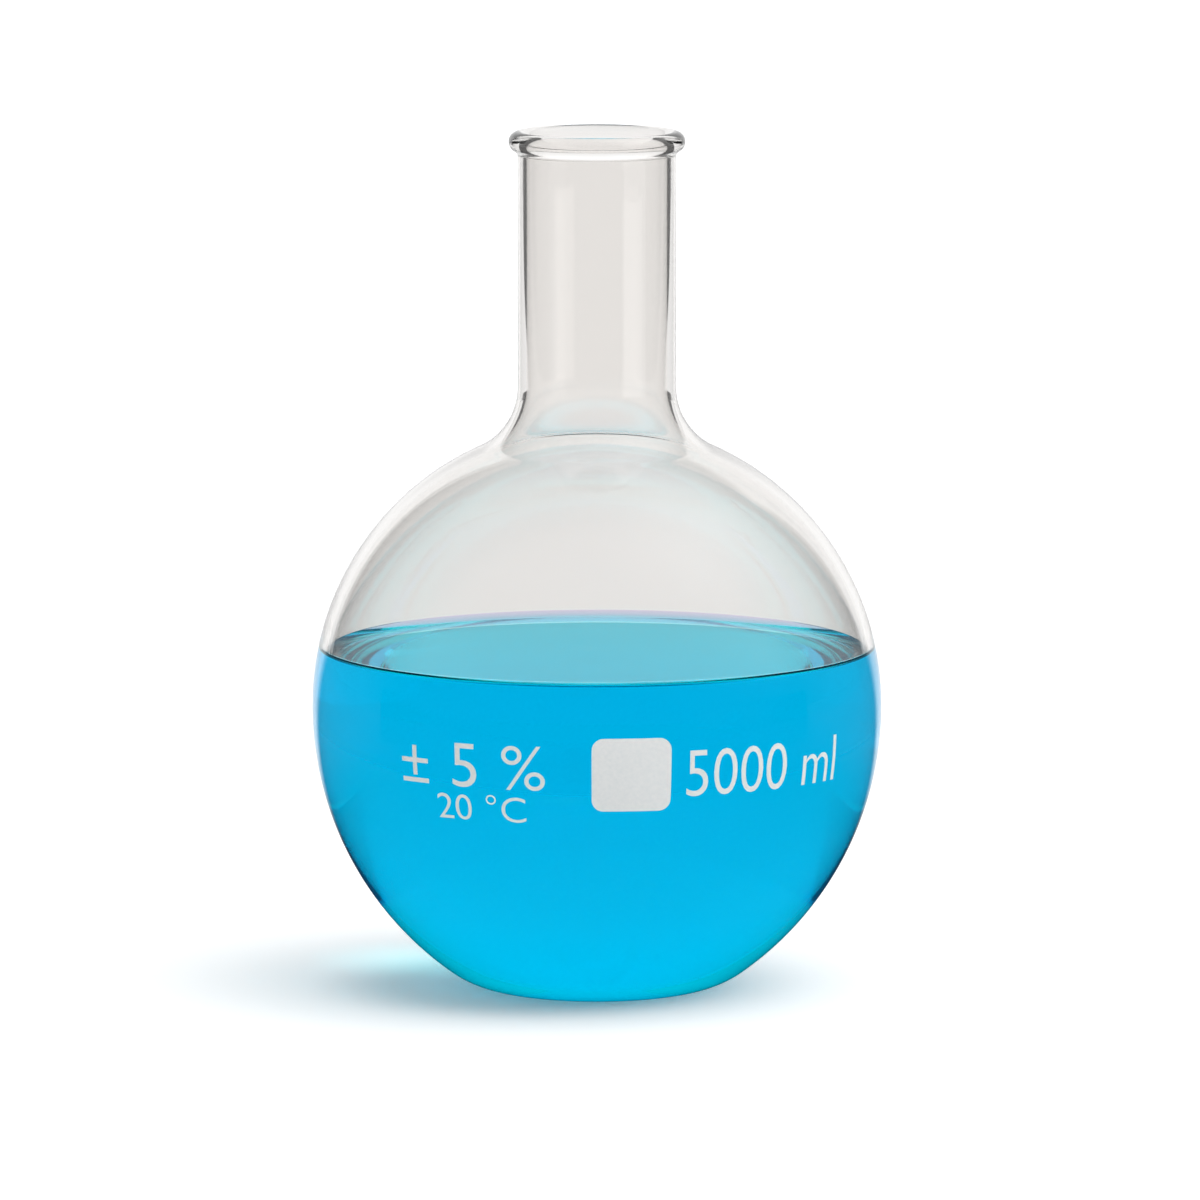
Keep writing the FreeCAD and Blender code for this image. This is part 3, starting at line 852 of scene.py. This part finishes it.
backward = plain(tree, "MAXIMUM", part["Y"], SMALLEST)
across = plain(tree, "DIVIDE", part["X"], backward)
up = plain(tree, "DIVIDE", part["Z"], backward)
left_edge = map_range(tree, plain(tree, "MULTIPLY_ADD", up, BACKDROP_LEAN, across), *BACKDROP_LEFT, 0, 1)
right_edge = map_range(tree, across, *BACKDROP_RIGHT, 1, 0)
top_edge = map_range(tree, up, *BACKDROP_TOP, 1, 0)
backdrop = maths(tree, "MULTIPLY", maths(tree, "MULTIPLY", left_edge, right_edge), top_edge)
backdrop = maths(tree, "MAXIMUM", backdrop, SIDE_LEVEL)
ceiling = map_range(tree, part["Z"], *CEILING_REACH, 0, CEILING_LIGHT)
glow = plain(tree, "ADD", ceiling, lobe(tree, GLOW_FROM, GLOW_SPREAD, GLOW_LIGHT))
at_the_back = maths(tree, "MULTIPLY", backdrop, map_range(tree, part["Y"], *BACK_REACH, 0, 1))
by_mirror = plain(tree, "ADD", at_the_back, glow)
by_light = plain(tree, "ADD", lobe(tree, KEY_FROM, KEY_SPREAD, KEY_LIGHT), SKY_LIGHT)
print("main light from", KEY_FROM, "strength", KEY_LIGHT)

# %% [markdown]
# Through the glass the sky is white, a little brighter higher up. What was mirrored inside dry glass sees
# the panel and a dimmer room in front. Just above the horizon in the middle it is dimmed, because the
# liquid's top mirrors that part, and in the photo it shows more blue than white. What went through the
# liquid as well sees an even white, so that the liquid stays clear and blue down to the foot.

# %% The sky as the glass shows it
SKY_INSIDE = 0.4
GLINT_BOTTOM = (0.04, 0.09)
GLINT_TOP = (0.2, 0.35)
GLINT_SIDE = (0.02, 0.3)
FRONT_LEVEL = 0.55
FRONT_REACH = (-0.2, 0.1)
WET_SKY = 1.0
SKY_RISE = 0.25
RISE_REACH = (0.0, 0.6)
off_centre = plain(tree, "ABSOLUTE", across, 0.0)
low_sky = map_range(tree, part["Z"], *GLINT_BOTTOM, 0, 1)
not_high = map_range(tree, part["Z"], *GLINT_TOP, 1, 0)
glint = maths(tree, "MULTIPLY", low_sky, not_high)
glint = maths(tree, "MULTIPLY", glint, map_range(tree, off_centre, *GLINT_SIDE, 1, 0))
room = maths(tree, "MAXIMUM", backdrop, map_range(tree, part["Y"], *FRONT_REACH, FRONT_LEVEL, 0))
by_dry = maths(tree, "MULTIPLY", room, blend(tree, glint, 1.0, SKY_INSIDE))
by_lens = plain(tree, "ADD", map_range(tree, part["Z"], *RISE_REACH, 0, SKY_RISE), THROUGH_LIGHT)
by_glass = blend(tree, kinds["inside"], by_lens, WET_SKY)
by_glass = blend(tree, kinds["inside_dry"], by_glass, by_dry)
strength = blend(tree, kinds["through"], by_light, by_glass)
strength = blend(tree, kinds["mirrored"], strength, by_mirror)
strength = blend(tree, kinds["camera"], strength, 1.0)
tree.links.new(strength, sky.inputs["Strength"])
print("the sky has", len(tree.nodes), "nodes")

# %% [markdown]
# Two low, wide soft lamps stand right and left in front, only for the glass to mirror: they draw the pale
# stripes on the neck and light nothing else. A low black card half way to each keeps its image off the ball.

# %% Lamps
LAMP_LEVEL = 0.125
LAMP_HEIGHT = 0.15
LAMP_AIM = Vector((0, 0, LAMP_LEVEL))


def soft_lamp(name, place, width, radiance):
    """A rectangular soft lamp of a given brightness, turned to the flask and unseen by the camera itself."""
    deselect()
    bpy.ops.object.light_add(type="AREA", location=place)
    lamp = bpy.context.object
    lamp.name = name
    lamp.data.shape = "RECTANGLE"
    lamp.data.size = width
    lamp.data.size_y = LAMP_HEIGHT
    lamp.data.energy = radiance * math.pi * width * LAMP_HEIGHT
    lamp.rotation_euler = (LAMP_AIM - Vector(place)).to_track_quat("-Z", "Y").to_euler()
    lamp.visible_camera = False
    lamp.visible_diffuse = False
    print(name, round(lamp.data.energy, 3), "W")
    return lamp


right = soft_lamp("right_lamp", (1.0, -0.66, LAMP_LEVEL), width=0.76, radiance=0.9)
left = soft_lamp("left_lamp", (-1.05, -0.6, LAMP_LEVEL), width=0.55, radiance=0.35)

# %% Flags
FLAG_HEIGHT = 0.165
FLAG_WIDTH = 0.7
black, tree, shader = new_material("black_card")
shader.inputs["Base Color"].default_value = (0, 0, 0, 1)
shader.inputs["Specular IOR Level"].default_value = 0.0


def stand_flag(name, lamp):
    """A low black card half way to a lamp, which only mirror images see."""
    half_way = lamp.location / 2
    deselect()
    bpy.ops.mesh.primitive_plane_add(size=1, location=(half_way.x, half_way.y, FLAG_HEIGHT / 2))
    flag = bpy.context.object
    flag.name = name
    flag.scale = (FLAG_WIDTH, FLAG_HEIGHT, 1)
    flag.rotation_euler = Vector((half_way.x, half_way.y, 0)).to_track_quat("Z", "Y").to_euler()
    flag.visible_camera = False
    flag.visible_diffuse = False
    flag.visible_transmission = False
    flag.visible_shadow = False
    flag.data.materials.append(black)
    print(name, "at", [round(v, 3) for v in flag.location])


stand_flag("right_flag", right)
stand_flag("left_flag", left)

# %% [markdown]
# The camera stands well back with a long lens, a little above the flask, as for a catalogue picture. Light
# may pass many walls, because the glass and the liquid mirror it many times before it leaves.

# %% Camera
CAMERA_PLACE = Vector((0.0012, -3.957, 0.685))
CAMERA_AIM = Vector((0.0012, 0, 0.1524))
SENSOR_WIDTH = 36
LENS_LENGTH = 306.6
MOST_WALLS = 30
MOST_MIRRORS = 12
deselect()
bpy.ops.object.camera_add(location=CAMERA_PLACE)
camera = bpy.context.object
camera.name = "camera"
camera.data.sensor_width = SENSOR_WIDTH
camera.data.lens = LENS_LENGTH
camera.rotation_euler = (CAMERA_AIM - CAMERA_PLACE).to_track_quat("-Z", "Y").to_euler()
bpy.context.scene.camera = camera
bpy.context.scene.view_settings.view_transform = "Standard"
bpy.context.scene.cycles.max_bounces = MOST_WALLS
bpy.context.scene.cycles.transmission_bounces = MOST_WALLS
bpy.context.scene.cycles.glossy_bounces = MOST_MIRRORS
print("camera", round((CAMERA_AIM - CAMERA_PLACE).length, 3), "m away")
